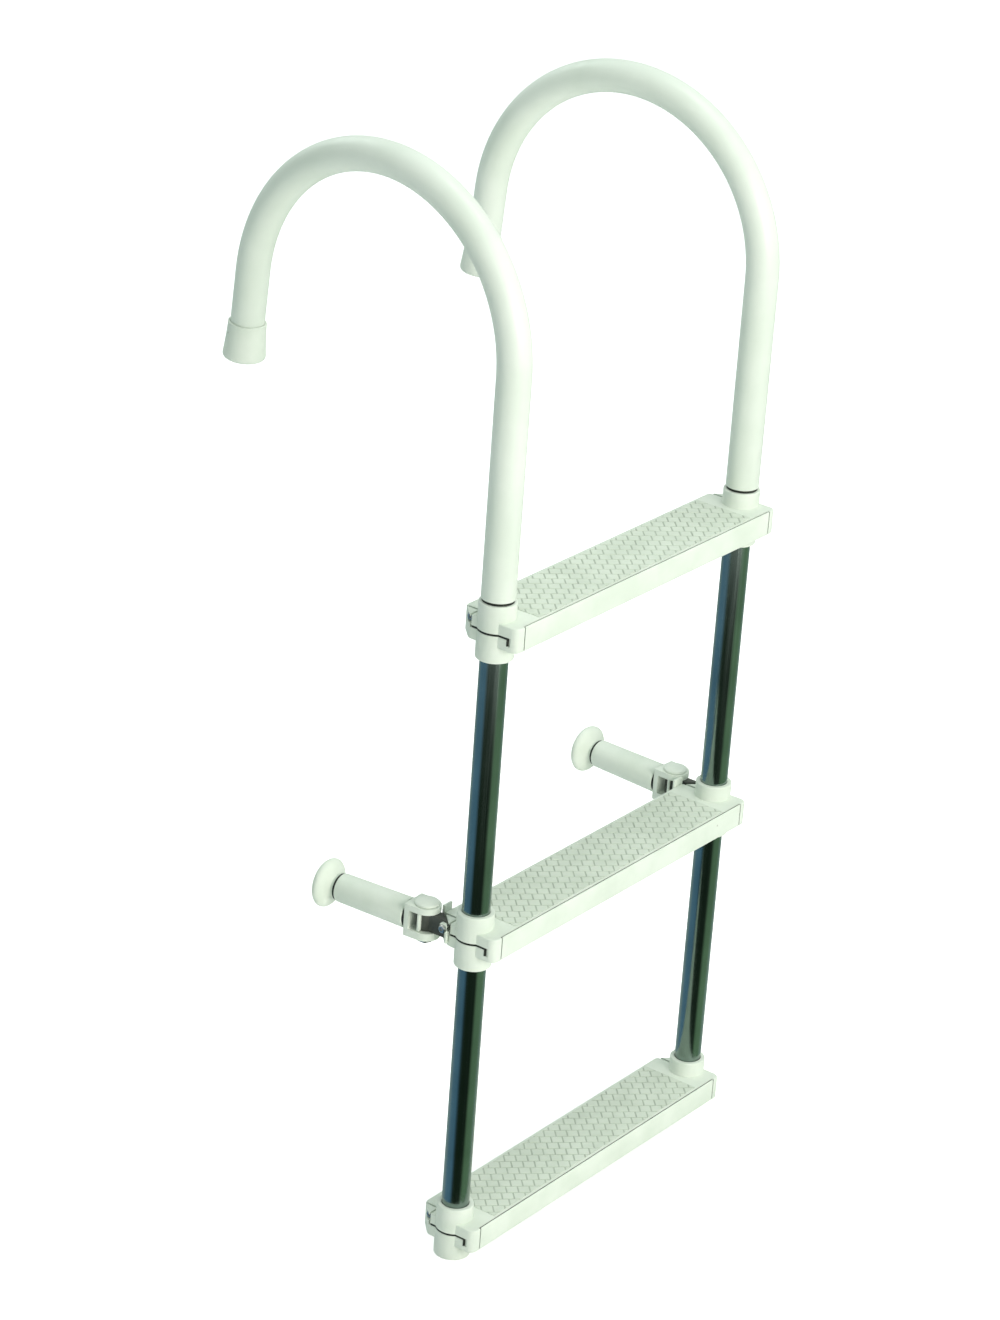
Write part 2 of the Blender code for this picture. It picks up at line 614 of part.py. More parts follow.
def make_standoff(side_name, side):
    make_bracket(side_name, side)
    x = side * (RAIL_SPACING / 2 + STANDOFF_OFFSET)
    z = TREAD_Z["middle"] - STANDOFF_DEPTH
    pivot = make_empty(f"standoff_pivot_{side_name}", (x, RAIL_Y + PIN_BACK, z), -side * STANDOFF_TOE_OUT)
    make_fork(side_name, pivot)
    make_arm(side_name, pivot)
    make_pin(side_name, pivot)
    arm_end = FORK_POST_AT + FORK_POST + ARM_SLOT + ARM_LENGTH
    slider = make_empty(f"foot_slide_{side_name}", (0, arm_end, 0))
    slider.parent = pivot
    make_foot(side_name, slider)


clear_scene()
aluminium = make_material("anodised_aluminium", (0.52, 0.55, 0.54), 0.28, 1.0)
white_sleeve = make_material("white_pvc_sleeve", (0.80, 0.83, 0.73), 0.42)
white_plastic = make_material("white_moulded_plastic", (0.80, 0.82, 0.74), 0.45)
white_rubber = make_material("white_rubber", (0.80, 0.83, 0.76), 0.6)
grey_plastic = make_material("grey_nylon", (0.35, 0.36, 0.36), 0.5)
steel = make_material("stainless_steel", (0.60, 0.60, 0.58), 0.3, 1.0)

for side_name, side in SIDES.items():
    make_rail(side_name, side)
    make_rail_plug(side_name, side)
    make_hook(side_name, side)
    make_standoff(side_name, side)
for name in STEP_NAMES:
    make_step(name)
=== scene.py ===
import math
import bpy
from mathutils import Matrix, Vector


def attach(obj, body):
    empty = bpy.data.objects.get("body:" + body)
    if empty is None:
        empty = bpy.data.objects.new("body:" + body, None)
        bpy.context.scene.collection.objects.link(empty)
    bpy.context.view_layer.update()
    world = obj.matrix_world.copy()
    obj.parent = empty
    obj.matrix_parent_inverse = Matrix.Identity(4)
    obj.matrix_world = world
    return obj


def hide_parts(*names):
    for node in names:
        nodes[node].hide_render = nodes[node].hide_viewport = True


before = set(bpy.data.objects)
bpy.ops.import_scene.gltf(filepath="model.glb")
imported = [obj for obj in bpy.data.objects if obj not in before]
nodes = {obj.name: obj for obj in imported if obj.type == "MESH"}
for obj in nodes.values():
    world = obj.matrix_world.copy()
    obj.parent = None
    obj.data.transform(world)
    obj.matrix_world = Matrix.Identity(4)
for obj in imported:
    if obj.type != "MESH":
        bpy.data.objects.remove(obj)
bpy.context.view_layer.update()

mm = 0.001
gap = 0.3 * mm  # between pieces that touch on the real thing
print("frame loaded")

# where the ladder's main lines run, all from the origin under the hook crests
ladder = {
    "railX": 161 * mm,
    "railY": -132 * mm,
    "treads": {"upper": -307.7 * mm, "middle": -567.7 * mm, "lower": -827.7 * mm},
    "tubeRadius": 11 * mm,
    "collarRadius": 14.8 * mm,
    "collarTop": 13 * mm,
    "collarBottom": -33 * mm,
    "slitZ": -9.5 * mm,
}
sides = {"left": -1, "right": 1}


# small tools

def clearSelection():
    if bpy.context.mode != "OBJECT":
        bpy.ops.object.mode_set(mode="OBJECT")
    bpy.ops.object.select_all(action="DESELECT")


def pick(obj):
    clearSelection()
    obj.select_set(True)
    bpy.context.view_layer.objects.active = obj


def settle(obj):
    pick(obj)
    bpy.ops.object.transform_apply(location=True, rotation=True, scale=True)


def selectWhere(obj, test):  # in edit mode, picks the points that pass a test
    bpy.ops.object.mode_set(mode="OBJECT")
    for polygon in obj.data.polygons:
        polygon.select = False
    for edge in obj.data.edges:
        edge.select = False
    for vertex in obj.data.vertices:
        vertex.select = test(vertex.co)
    bpy.ops.object.mode_set(mode="EDIT")
    bpy.ops.mesh.select_mode(type="VERT")


def applyModifier(obj, kind, **settings):
    pick(obj)
    modifier = obj.modifiers.new(kind.lower(), kind)
    for key, value in settings.items():
        setattr(modifier, key, value)
    bpy.ops.object.modifier_apply(modifier=modifier.name)


def repeat(obj, count, offset):
    applyModifier(obj, "ARRAY", count=count, use_relative_offset=False, use_constant_offset=True,
                  constant_offset_displace=offset)


def roundEdges(obj, width, segments, sharper):  # rounds every edge sharper than an angle in degrees
    limit = math.radians(sharper)
    applyModifier(obj, "BEVEL", width=width, segments=segments, limit_method="ANGLE", angle_limit=limit)


def tidyMesh(obj):
    pick(obj)
    bpy.ops.object.mode_set(mode="EDIT")
    bpy.ops.mesh.select_all(action="SELECT")
    bpy.ops.mesh.remove_doubles(threshold=0.000001)
    bpy.ops.mesh.normals_make_consistent(inside=False)
    bpy.ops.object.mode_set(mode="OBJECT")


def block(name, low, high, rounding=0.0, segments=3):  # a box by its two corners
    clearSelection()
    low, high = Vector(low), Vector(high)
    bpy.ops.mesh.primitive_cube_add(size=1, location=(low + high) / 2)
    obj = bpy.context.object
    obj.name = name
    obj.scale = [abs(v) for v in high - low]
    settle(obj)
    if rounding:
        roundEdges(obj, rounding, segments, 30)
    return obj


def drum(name, radius, low, high, centre=(0, 0), rim=0.0, facets=64):  # an upright cylinder
    clearSelection()
    where = (centre[0], centre[1], (low + high) / 2)
    bpy.ops.mesh.primitive_cylinder_add(vertices=facets, radius=radius, depth=high - low, location=where)
    obj = bpy.context.object
    obj.name = name
    settle(obj)
    if rim:
        roundEdges(obj, rim, 3, 50)
    return obj


def turned(name, outline, steps=64, closed=False):  # spins (radius, height) points about Z
    clearSelection()
    mesh = bpy.data.meshes.new(name)
    points = [(r, 0, z) for r, z in outline]
    edges = [(i, i + 1) for i in range(len(points) - 1)]
    if closed:
        edges.append((len(points) - 1, 0))
    mesh.from_pydata(points, edges, [])
    obj = bpy.data.objects.new(name, mesh)
    bpy.context.scene.collection.objects.link(obj)
    pick(obj)
    bpy.ops.object.mode_set(mode="EDIT")
    bpy.ops.mesh.select_all(action="SELECT")
    bpy.ops.mesh.spin(steps=steps, angle=2 * math.pi, center=(0, 0, 0), axis=(0, 0, 1))
    tidyMesh(obj)
    return obj


def prism(name, outline, low, high):  # an upright prism over (x, y) points
    clearSelection()
    mesh = bpy.data.meshes.new(name)
    mesh.from_pydata([(x, y, low) for x, y in outline], [], [tuple(range(len(outline)))])
    obj = bpy.data.objects.new(name, mesh)
    bpy.context.scene.collection.objects.link(obj)
    pick(obj)
    bpy.ops.object.mode_set(mode="EDIT")
    bpy.ops.mesh.select_all(action="SELECT")
    bpy.ops.mesh.extrude_region_move(TRANSFORM_OT_translate={"value": (0, 0, high - low)})
    tidyMesh(obj)
    return obj


def washerRing(name, outer, inner, low, high):
    return turned(name, [(inner, low), (outer, low), (outer, high), (inner, high)], steps=56, closed=True)


def arcPoints(centre, radius, fromDeg, toDeg, count):  # outline points round a corner
    turns = [math.radians(fromDeg + (toDeg - fromDeg) * i / count) for i in range(count + 1)]
    return [(centre[0] + radius * math.cos(t), centre[1] + radius * math.sin(t)) for t in turns]


def place(obj, matrix):
    obj.matrix_world = matrix @ obj.matrix_world
    settle(obj)
    return obj


def combine(obj, other, operation):  # a boolean that uses the other piece up
    applyModifier(obj, "BOOLEAN", operation=operation, object=other, solver="EXACT")
    bpy.data.objects.remove(other, do_unlink=True)


def cut(obj, *others):
    for other in others:
        combine(obj, other, "DIFFERENCE")


def weld(obj, *others):
    for other in others:
        combine(obj, other, "UNION")


def trim(obj, point, normal):  # keeps what lies behind a plane and closes the cut
    pick(obj)
    bpy.ops.object.mode_set(mode="EDIT")
    bpy.ops.mesh.select_all(action="SELECT")
    bpy.ops.mesh.bisect(plane_co=point, plane_no=normal, use_fill=True, clear_outer=True)
    bpy.ops.object.mode_set(mode="OBJECT")


def copyOf(obj, name):  # with a mesh of its own
    twin = obj.copy()
    twin.data = obj.data.copy()
    twin.name = name
    bpy.context.scene.collection.objects.link(twin)
    return twin


def mirrored(obj, name):  # the same piece for the other side
    twin = copyOf(obj, name)
    pick(twin)
    bpy.ops.object.mode_set(mode="EDIT")
    bpy.ops.mesh.select_all(action="SELECT")
    bpy.ops.transform.mirror(constraint_axis=(True, False, False), center_override=(0, 0, 0))
    bpy.ops.mesh.flip_normals()
    bpy.ops.object.mode_set(mode="OBJECT")
    return twin


def smooth(obj, angle=32):
    pick(obj)
    bpy.ops.object.shade_smooth_by_angle(angle=math.radians(angle))


def finishPiece(obj, body, material, slotName, *replaced):
    smooth(obj)
    obj.data.materials.clear()
    obj.data.materials.append(material)
    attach(obj, body)
    if replaced:
        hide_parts(*replaced)


# materials

def linear(hexColour):
    values = [int(hexColour[i:i + 2], 16) / 255 for i in (1, 3, 5)]
    return [v / 12.92 if v <= 0.04045 else ((v + 0.055) / 1.055) ** 2.4 for v in values] + [1.0]


def addNode(tree, kind, links=None, **settings):  # one node with its settings and what feeds it
    node = tree.nodes.new("ShaderNode" + kind)
    for key, value in settings.items():
        if key in node.inputs:
            node.inputs[key].default_value = value
        else:
            setattr(node, key, value)
    for key, output in (links or {}).items():
        tree.links.new(output, node.inputs[key])
    return node


def newMaterial(name, **sockets):
    material = bpy.data.materials.new(name)
    material.use_nodes = True
    tree = material.node_tree
    shader = tree.nodes["Principled BSDF"]
    for key, value in sockets.items():
        shader.inputs[key.replace("_", " ")].default_value = value
    where = addNode(tree, "TexCoord").outputs["Object"]
    return material, tree, shader, where


def ramp(tree, factor, stops):  # a colour ramp fed by a factor
    node = addNode(tree, "ValToRGB", {"Fac": factor})
    elements = node.color_ramp.elements
    while len(elements) < len(stops):
        elements.new(0.5)
    for element, (at, colour) in zip(elements, stops):
        element.position = at
        element.color = colour
    return node.outputs["Color"]


def spread(tree, factor, low, high, toLow, toHigh):
    node = addNode(tree, "MapRange", {"Value": factor})
    for key, value in (("From Min", low), ("From Max", high), ("To Min", toLow), ("To Max", toHigh)):
        node.inputs[key].default_value = value
    return node.outputs["Result"]


def mixColours(tree, factor, first, second):  # from a linked colour to a fixed one
    node = addNode(tree, "Mix", data_type="RGBA", blend_type="MIX")
    tree.links.new(factor, node.inputs["Factor"])
    tree.links.new(first, node.inputs[6])  # 6 and 7 are the colours A and B, and output 2 is their mix
    node.inputs[7].default_value = second
    return node.outputs[2]


def bumpFrom(tree, height, distance, strength):
    node = addNode(tree, "Bump", {"Height": height}, Distance=distance, Strength=strength)
    return node.outputs["Normal"]


wear = {"dirt": "#6B6248", "speckCore": 0.012, "speckRim": 0.03, "scuffs": 11.11 * mm, "dulling": 0.16}


def plastic(name, look):
    # soft mottling in the colour, faint rubbed marks and a few dirt specks
    # the moulded grain is drawn coarser than the real one, which would not show
    material, tree, shader, where = newMaterial(name, Metallic=0.0)
    cloud = addNode(tree, "TexNoise", {"Vector": where}, Scale=1 / look["clouds"], Detail=4.0)
    base = ramp(tree, cloud.outputs["Fac"], [(0.35, linear(look["shade"])), (0.62, linear(look["colour"]))])
    spots = addNode(tree, "TexVoronoi", {"Vector": where}, Scale=1 / look["specks"], Randomness=1.0)
    speck = spread(tree, spots.outputs["Distance"], wear["speckCore"], wear["speckRim"], look["dirt"], 0.0)
    stained = mixColours(tree, speck, base, linear(wear["dirt"]))
    tree.links.new(stained, shader.inputs["Base Color"])
    grain = addNode(tree, "TexNoise", {"Vector": where}, Scale=1 / look["grain"], Detail=3.0)
    scuffs = addNode(
        tree, "TexNoise", {"Vector": where}, Scale=1 / wear["scuffs"], Detail=8.0, Distortion=1.5)
    dullest = look["gloss"] + wear["dulling"]
    rough = spread(tree, scuffs.outputs["Fac"], 0.35, 0.7, look["gloss"], dullest)
    tree.links.new(rough, shader.inputs["Roughness"])
    normal = bumpFrom(tree, grain.outputs["Fac"], look["grainDepth"], 0.6)
    tree.links.new(normal, shader.inputs["Normal"])
    return material


sleevePlastic = plastic("creamSleeve", {  # smooth extruded skin, a soft gloss down each tube
    "colour": "#E9EFE5", "shade": "#E1E9DD", "clouds": 71.43 * mm, "specks": 62.5 * mm,
    "dirt": 0.8, "grain": 1.111 * mm, "grainDepth": 0.06 * mm, "gloss": 0.36})
mouldedPlastic = plastic("creamMoulding", {  # a little duller than the sleeve, with a moulded grain
    "colour": "#E7EDE2", "shade": "#DEE6D9", "clouds": 33.33 * mm, "specks": 38.46 * mm,
    "dirt": 0.5, "grain": 0.7143 * mm, "grainDepth": 0.1 * mm, "gloss": 0.42})
treadPlastic = plastic("greyedTread", {  # the walked-on face, greyer and rougher
    "colour": "#DDE4D7", "shade": "#D3DBCD", "clouds": 22.22 * mm, "specks": 16.67 * mm,
    "dirt": 0.45, "grain": 0.5556 * mm, "grainDepth": 0.15 * mm, "gloss": 0.55})
groundShade = plastic("treadGround", {  # painted shade between the raised pads: darker than the pads, with dirt specks
    "colour": "#BEC6B8", "shade": "#AEB6A8", "clouds": 14.29 * mm, "specks": 12.5 * mm,
    "dirt": 0.5, "grain": 0.5556 * mm, "grainDepth": 0.1 * mm, "gloss": 0.6})
footRubber = plastic("paleRubber", {  # matt, so the foot reads softer than the arm
    "colour": "#E9EFE4", "shade": "#E0E8DA", "clouds": 25 * mm, "specks": 25 * mm,
    "dirt": 0.3, "grain": 0.4545 * mm, "grainDepth": 0.12 * mm, "gloss": 0.58})
innerNylon = plastic("greyNylon", {  # hidden spigots
    "colour": "#6E7270", "shade": "#626664", "clouds": 16.67 * mm, "specks": 16.67 * mm,
    "dirt": 0.2, "grain": 0.5 * mm, "grainDepth": 0.1 * mm, "gloss": 0.5})
tongueShade = plastic("shadedNylon", {  # painted shade: the tongue inside the hinge, coloured dark so the knuckle's windows look shaded
    "colour": "#4B4F48", "shade": "#3A3E38", "clouds": 12.5 * mm, "specks": 16.67 * mm,
    "dirt": 0.0, "grain": 0.5 * mm, "grainDepth": 0.1 * mm, "gloss": 0.55})
darkRubber = plastic("darkRubber", {  # painted shade: washers and fillers in the slots and gaps, near black so each reads as a shaded line
    "colour": "#22261F", "shade": "#171A15", "clouds": 16.67 * mm, "specks": 16.67 * mm,
    "dirt": 0.0, "grain": 0.5 * mm, "grainDepth": 0.1 * mm, "gloss": 0.6})


drawing = {"across": 1.111 * mm, "along": 166.7 * mm, "tone": 40 * mm, "depth": 0.02 * mm, "dulling": 0.12}


def drawnTube(name, look):
    # lines drawn along the tube, coarser than the real ones, and a faint uneven oxide tone
    material, tree, shader, where = newMaterial(name, Metallic=1.0)
    across, along = 1 / drawing["across"], 1 / drawing["along"]
    stretch = addNode(tree, "Mapping", {"Vector": where}, Scale=(across, across, along))
    lines = addNode(tree, "TexNoise", {"Vector": stretch.outputs["Vector"]}, Scale=1.0, Detail=3.0)
    tone = addNode(tree, "TexNoise", {"Vector": where}, Scale=1 / drawing["tone"], Detail=5.0)
    base = ramp(tree, tone.outputs["Fac"], [(0.3, linear(look["shade"])), (0.7, linear(look["colour"]))])
    tree.links.new(base, shader.inputs["Base Color"])
    rough = spread(tree, lines.outputs["Fac"], 0.3, 0.7, look["gloss"], look["gloss"] + drawing["dulling"])
    tree.links.new(rough, shader.inputs["Roughness"])
    tree.links.new(bumpFrom(tree, lines.outputs["Fac"], drawing["depth"], 0.5), shader.inputs["Normal"])
    return material


railMetal = drawnTube("anodisedTube", {"colour": "#8D9C95", "shade": "#7B8A84", "gloss": 0.15})
fastenerSteel = drawnTube("brightSteel", {"colour": "#B9BCB8", "shade": "#A6AAA6", "gloss": 0.24})
print("materials made")


# rails

rail = {
    "wall": 1.5 * mm,
    "bottom": ladder["treads"]["lower"] - 30 * mm,
    "top": ladder["treads"]["upper"] + ladder["slitZ"],
    "facets": 64,
    "edge": 0.4 * mm,
}


def makeRail(sideName, side):
    clearSelection()
    middle = (rail["bottom"] + rail["top"]) / 2
    bpy.ops.mesh.primitive_cylinder_add(
        vertices=rail["facets"], radius=ladder["tubeRadius"], depth=rail["top"] - rail["bottom"],
        end_fill_type="NOTHING", location=(side * ladder["railX"], ladder["railY"], middle))
    tube = bpy.context.object
    tube.name = "rail_tube_" + sideName
    settle(tube)
    applyModifier(tube, "SOLIDIFY", thickness=rail["wall"], offset=-1)
    roundEdges(tube, rail["edge"], 2, 60)
    finishPiece(tube, "ladder", railMetal, "anodised_aluminium", "rail_" + sideName)


for sideName, side in sides.items():
    makeRail(sideName, side)
print("rails made")


# hooks, made on the axis they swivel about and then put in place

hook = {
    "radius": 132 * mm,
    "arc": 175.5,
    "arcSteps": 88,
    "tip": 69 * mm,
    "sleeveRadius": 13.3 * mm,
    "sleeveWall": 2.0 * mm,
    "sleeveStart": ladder["treads"]["upper"] + ladder["collarTop"] + 2.2 * mm,
    "coreStart": ladder["treads"]["upper"] + ladder["slitZ"] + gap,
    "toeIn": {"left": 3.65, "right": 1.3},
    "facets": 56,
    "edge": 0.5 * mm,
    # the near-black ring under each sleeve, painted shade in the gap above the collar
    "washerOuter": 12.5 * mm,
    "washerInner": 11.1 * mm,
    "washerHeight": 1.9 * mm,
}
hook["centreZ"] = hook["sleeveRadius"] - hook["radius"]  # so that the crests' undersides are at height zero


def hookPlace(sideName):
    side = sides[sideName]
    spot = Matrix.Translation((side * ladder["railX"], ladder["railY"], 0))
    return spot @ Matrix.Rotation(math.radians(side * hook["toeIn"][sideName]), 4, "Z")


def bentTube(name, radius, wall, start, end):  # up the rail line, over the arc and down the tip
    clearSelection()
    bpy.ops.mesh.primitive_circle_add(
        vertices=hook["facets"], radius=radius, fill_type="NOTHING", location=(0, 0, start))
    tube = bpy.context.object
    tube.name = name
    settle(tube)
    bpy.ops.object.mode_set(mode="EDIT")
    bpy.ops.mesh.select_all(action="SELECT")
    bpy.ops.mesh.extrude_region_move(TRANSFORM_OT_translate={"value": (0, 0, hook["centreZ"] - start)})
    selectWhere(tube, lambda co: co.z > hook["centreZ"] - 0.00001)
    bpy.ops.mesh.spin(
        steps=hook["arcSteps"], angle=math.radians(hook["arc"]), axis=(1, 0, 0),
        center=(0, hook["radius"], hook["centreZ"]))
    sweep = math.radians(hook["arc"])
    tipY = hook["radius"] * (1 - math.cos(sweep))
    tipStart = Vector((0, tipY, hook["centreZ"] + hook["radius"] * math.sin(sweep)))
    along = Vector((0, math.sin(sweep), math.cos(sweep)))
    selectWhere(tube, lambda co: co.y > hook["radius"] and abs((co - tipStart).dot(along)) < 0.00002)
    bpy.ops.mesh.extrude_region_move(TRANSFORM_OT_translate={"value": along * end})
    bpy.ops.mesh.select_all(action="SELECT")
    bpy.ops.mesh.remove_doubles(threshold=0.000001)
    bpy.ops.mesh.normals_make_consistent(inside=False)
    bpy.ops.object.mode_set(mode="OBJECT")
    applyModifier(tube, "SOLIDIFY", thickness=wall, offset=-1)
    roundEdges(tube, hook["edge"], 2, 60)
    return tube, tipStart + along * end, along


hookCap = {  # a slip-over cap with a soft flare to its lower rim
    "inside": 13.6 * mm, "mouth": 15.0 * mm, "rim": 16.8 * mm, "mouthAt": -26.7 * mm,
    "bottom": 3.3 * mm, "round": 3.0 * mm,
}


def makeHookCap(name):
    c = hookCap
    outline = [(0.0, gap), (c["inside"], gap), (c["inside"], c["mouthAt"])]
    outline += [(c["mouth"] - 0.5 * mm, c["mouthAt"]), (c["mouth"], c["mouthAt"] + 0.5 * mm)]
    for i in range(1, 7):  # the flare, steeper towards the rim
        t = i / 6
        radius = c["mouth"] + (c["rim"] - c["mouth"]) * t ** 1.6
        outline.append((radius, c["mouthAt"] + (c["bottom"] - c["round"] - c["mouthAt"]) * t))
    outline += arcPoints((c["rim"] - c["round"], c["bottom"] - c["round"]), c["round"], 15, 90, 6)
    outline.append((0.0, c["bottom"]))
    return turned(name, outline, steps=56)


def makeHook(sideName):
    body = "hook_" + sideName
    sleeve, tip, along = bentTube(
        "sleeve_" + sideName, hook["sleeveRadius"], hook["sleeveWall"], hook["sleeveStart"], hook["tip"])
    place(sleeve, hookPlace(sideName))
    finishPiece(sleeve, body, sleevePlastic, "white_pvc_sleeve", "hook_sleeve_" + sideName)
    core = bentTube("core_" + sideName, ladder["tubeRadius"], rail["wall"], hook["coreStart"], hook["tip"])[0]
    place(core, hookPlace(sideName))
    finishPiece(core, body, railMetal, "anodised_aluminium", "hook_tube_" + sideName)
    cap = makeHookCap("tip_cap_" + sideName)
    place(cap, Matrix.Translation(tip) @ along.to_track_quat("Z", "X").to_matrix().to_4x4())
    place(cap, hookPlace(sideName))
    finishPiece(cap, body, mouldedPlastic, "white_moulded_plastic", "hook_cap_" + sideName)
    # a near-black ring under the sleeve, painted shade in the gap between the sleeve and the collar
    top = hook["sleeveStart"] - 0.1 * mm
    low = top - hook["washerHeight"]
    washer = washerRing("sleeve_washer_" + sideName, hook["washerOuter"], hook["washerInner"], low, top)
    place(washer, hookPlace(sideName))
    finishPiece(washer, body, darkRubber, "grey_nylon")


for sideName in sides:
    makeHook(sideName)
print("hooks made")


# steps, made with the rail line at Y 0 and the tread at Z 0, then copied to each height

screw = {  # the clamp screws, from the rail's axis and the tread
    "shank": 2.0 * mm, "head": 3.4 * mm, "seat": 4.5 * mm, "behind": 19.5 * mm, "below": 4.4 * mm,
    "reach": 17.0 * mm, "further": 10.1 * mm, "hole": 2.3 * mm, "seatHole": 3.7 * mm,
}
captiveNut = {"at": 7.5 * mm, "thick": 3.8 * mm, "front": 15.9 * mm, "bottom": 8.0 * mm, "top": 0.9 * mm}
step = {
    "halfLength": 172 * mm,
    "front": -27.5 * mm,
    "back": 30.5 * mm,
    "frontCorner": 6 * mm,
    "backCorner": 13 * mm,
    "cornerEase": 2.5 * mm,
    "skirt": 20 * mm,
    "edgeRound": 0.9 * mm,
    "slit": 1.9 * mm,
    "slitEnd": 29.0,
    "drop": 5 * mm,
    "split": 2.2 * mm,
    "bore": ladder["tubeRadius"] + gap,
}
panel = {  # the front face's inset panel, drawn by a groove in from each rail's axis
    "past": 0.5 * mm, "groove": 1.2 * mm, "front": 0.8 * mm, "behind": 2.0 * mm,
    "depth": 2.6 * mm, "foot": 18.8 * mm, "lineBelow": 0.7 * mm, "lineIn": 0.6 * mm,
}
liner = {  # the near-black fillers, painted shade in the slits and the groove: how far under the faces, the play beside them and where the drop ends
    "under": 0.4 * mm, "slack": 0.05 * mm, "dropEnd": 21.6 * mm,
}


def bevelUprightEdges(obj, test, width, segments):  # rounds the upright corners that pass a test
    pick(obj)
    bpy.ops.object.mode_set(mode="EDIT")
    bpy.ops.mesh.select_mode(type="EDGE")
    bpy.ops.mesh.select_all(action="DESELECT")
    bpy.ops.object.mode_set(mode="OBJECT")
    points = obj.data.vertices
    for edge in obj.data.edges:
        a, b = (points[i].co for i in edge.vertices)
        edge.select = abs(a.z - b.z) > 1 * mm and (a - b).xy.length < 0.01 * mm and test(a)
    bpy.ops.object.mode_set(mode="EDIT")
    bpy.ops.mesh.bevel(offset=width, segments=segments, affect="EDGES")
    bpy.ops.object.mode_set(mode="OBJECT")


def quadrant(side, low, high, turn, reach):  # a quarter plate, for the slit round the outboard side
    plate = block("cutter", (0, 0, low), (side * 30 * mm, reach, high))
    place(plate, Matrix.Rotation(math.radians(turn), 4, "Z"))
    return place(plate, Matrix.Translation((side * ladder["railX"], 0, 0)))


def addCollar(body, side):
    x = side * ladder["railX"]
    s = step
    low, high = ladder["slitZ"] - s["slit"] / 2, ladder["slitZ"] + s["slit"] / 2
    bottom, top = ladder["collarBottom"], ladder["collarTop"]
    weld(body, drum("collar", ladder["collarRadius"], bottom, top, (x, 0), s["edgeRound"]))
    cut(body, drum("bore", s["bore"], -40 * mm, 20 * mm, (x, 0)))
    cut(body, block("relief", (x - side * 1 * mm, 15.2 * mm, low), (x + side * 14 * mm, 16.9 * mm, 2 * mm)))
    cut(body, quadrant(side, low, high, 0, 16 * mm))
    cut(body, quadrant(side, low, high, -side * (90 - s["slitEnd"]), 30 * mm))
    drop = block("drop", (-s["slit"] / 2, 9 * mm, low - s["drop"]), (s["slit"] / 2, 28 * mm, high))
    place(drop, Matrix.Rotation(math.radians(180 + side * s["slitEnd"]), 4, "Z"))
    cut(body, place(drop, Matrix.Translation((x, 0, 0))))
    half = s["split"] / 2
    cut(body, block("split", (x - half, 2 * mm, ladder["slitZ"]), (x + half, 40 * mm, 20 * mm)))


def makeShadeFiller():
    # near-black fillers, painted shade set a little below the faces of the clamp slits and of the front
    # panel's groove
    s, f, g = step, step["front"], panel
    half = s["slit"] / 2 - liner["slack"]
    low, high = ladder["slitZ"] - half, ladder["slitZ"] + half
    inner = ladder["railX"] + g["past"]
    outer = inner + g["groove"]
    behind, top = f + g["behind"], -g["lineBelow"]
    filler = block("liner", (-inner, f + g["front"], -g["depth"] - 0.1 * mm), (inner, behind, top))
    for side in sides.values():
        x = side * ladder["railX"]
        foot = 0.1 * mm - g["foot"]
        strip = block("strip", (side * inner, f + g["lineIn"], foot), (side * outer, behind, top))
        plate = drum("plate", ladder["collarRadius"] - liner["under"], low, high, (x, 0))
        end = s["halfLength"] - ladder["railX"] - liner["under"]
        weld(plate, block("end", (x, -23 * mm, low), (x + side * end, 15 * mm, high)))
        sector = quadrant(side, low - 1 * mm, high + 1 * mm, 0, 40 * mm)
        weld(sector, quadrant(side, low - 1 * mm, high + 1 * mm, -side * (90 - s["slitEnd"]), 30 * mm))
        combine(plate, sector, "INTERSECT")
        drop = block("drop", (-half, 14 * mm, low - s["drop"]), (half, liner["dropEnd"], high))
        place(drop, Matrix.Rotation(math.radians(180 + side * s["slitEnd"]), 4, "Z"))
        weld(plate, place(drop, Matrix.Translation((x, 0, 0))))
        cut(plate, drum("bore", s["bore"] + 0.1 * mm, -40 * mm, 20 * mm, (x, 0)))
        pick(filler)
        plate.select_set(True)
        strip.select_set(True)
        bpy.ops.object.join()
    tidyMesh(filler)
    return filler


def addScrewSeats(body, side):
    x = side * (ladder["railX"] + screw["seat"])
    turn = Matrix.Rotation(math.pi / 2, 4, "Y")
    spot = Matrix.Translation((x, screw["behind"], -screw["below"])) @ turn
    low, high = (0, 12 * mm) if side > 0 else (-12 * mm, 0)
    cut(body, place(drum("seat", screw["seatHole"], low, high), spot))
    reach = screw["reach"] + gap
    cut(body, place(drum("hole", screw["hole"], -reach, reach, facets=24), spot))
    n = captiveNut
    far = side * (ladder["railX"] - n["at"])
    cut(body, block("pocket", (far - side * n["thick"], n["front"], -n["bottom"]), (far, 34 * mm, -n["top"])))


def addFrontPanel(body):  # a groove along the tread's front edge and down both ends of the front face
    f, g = step["front"], panel
    x, behind = ladder["railX"] + g["past"], f + g["behind"]
    cut(body, block("groove", (-x, f + g["front"], -g["depth"]), (x, behind, 1 * mm)))
    for side in sides.values():
        near, far = side * x, side * (x + g["groove"])
        cut(body, block("groove", (near, f - 1 * mm, -g["foot"]), (far, behind, 1 * mm)))


underside = {"cells": 6, "rib": 2.5 * mm, "deck": 3.6 * mm, "wall": 3 * mm, "fromRail": 22 * mm}


def addUnderside(body):  # hollow from below, with ribs left standing
    count, rib, wall = underside["cells"], underside["rib"], underside["wall"]
    left = -ladder["railX"] + underside["fromRail"]
    width = (-2 * left - rib * (count - 1)) / count
    for lowY, highY in ((step["front"] + wall, -rib / 2), (rib / 2, step["back"] - wall)):
        cell = block("cell", (left, lowY, -24 * mm), (left + width, highY, -underside["deck"]), 1.2 * mm)
        repeat(cell, count, (width + rib, 0, 0))
        cut(body, cell)


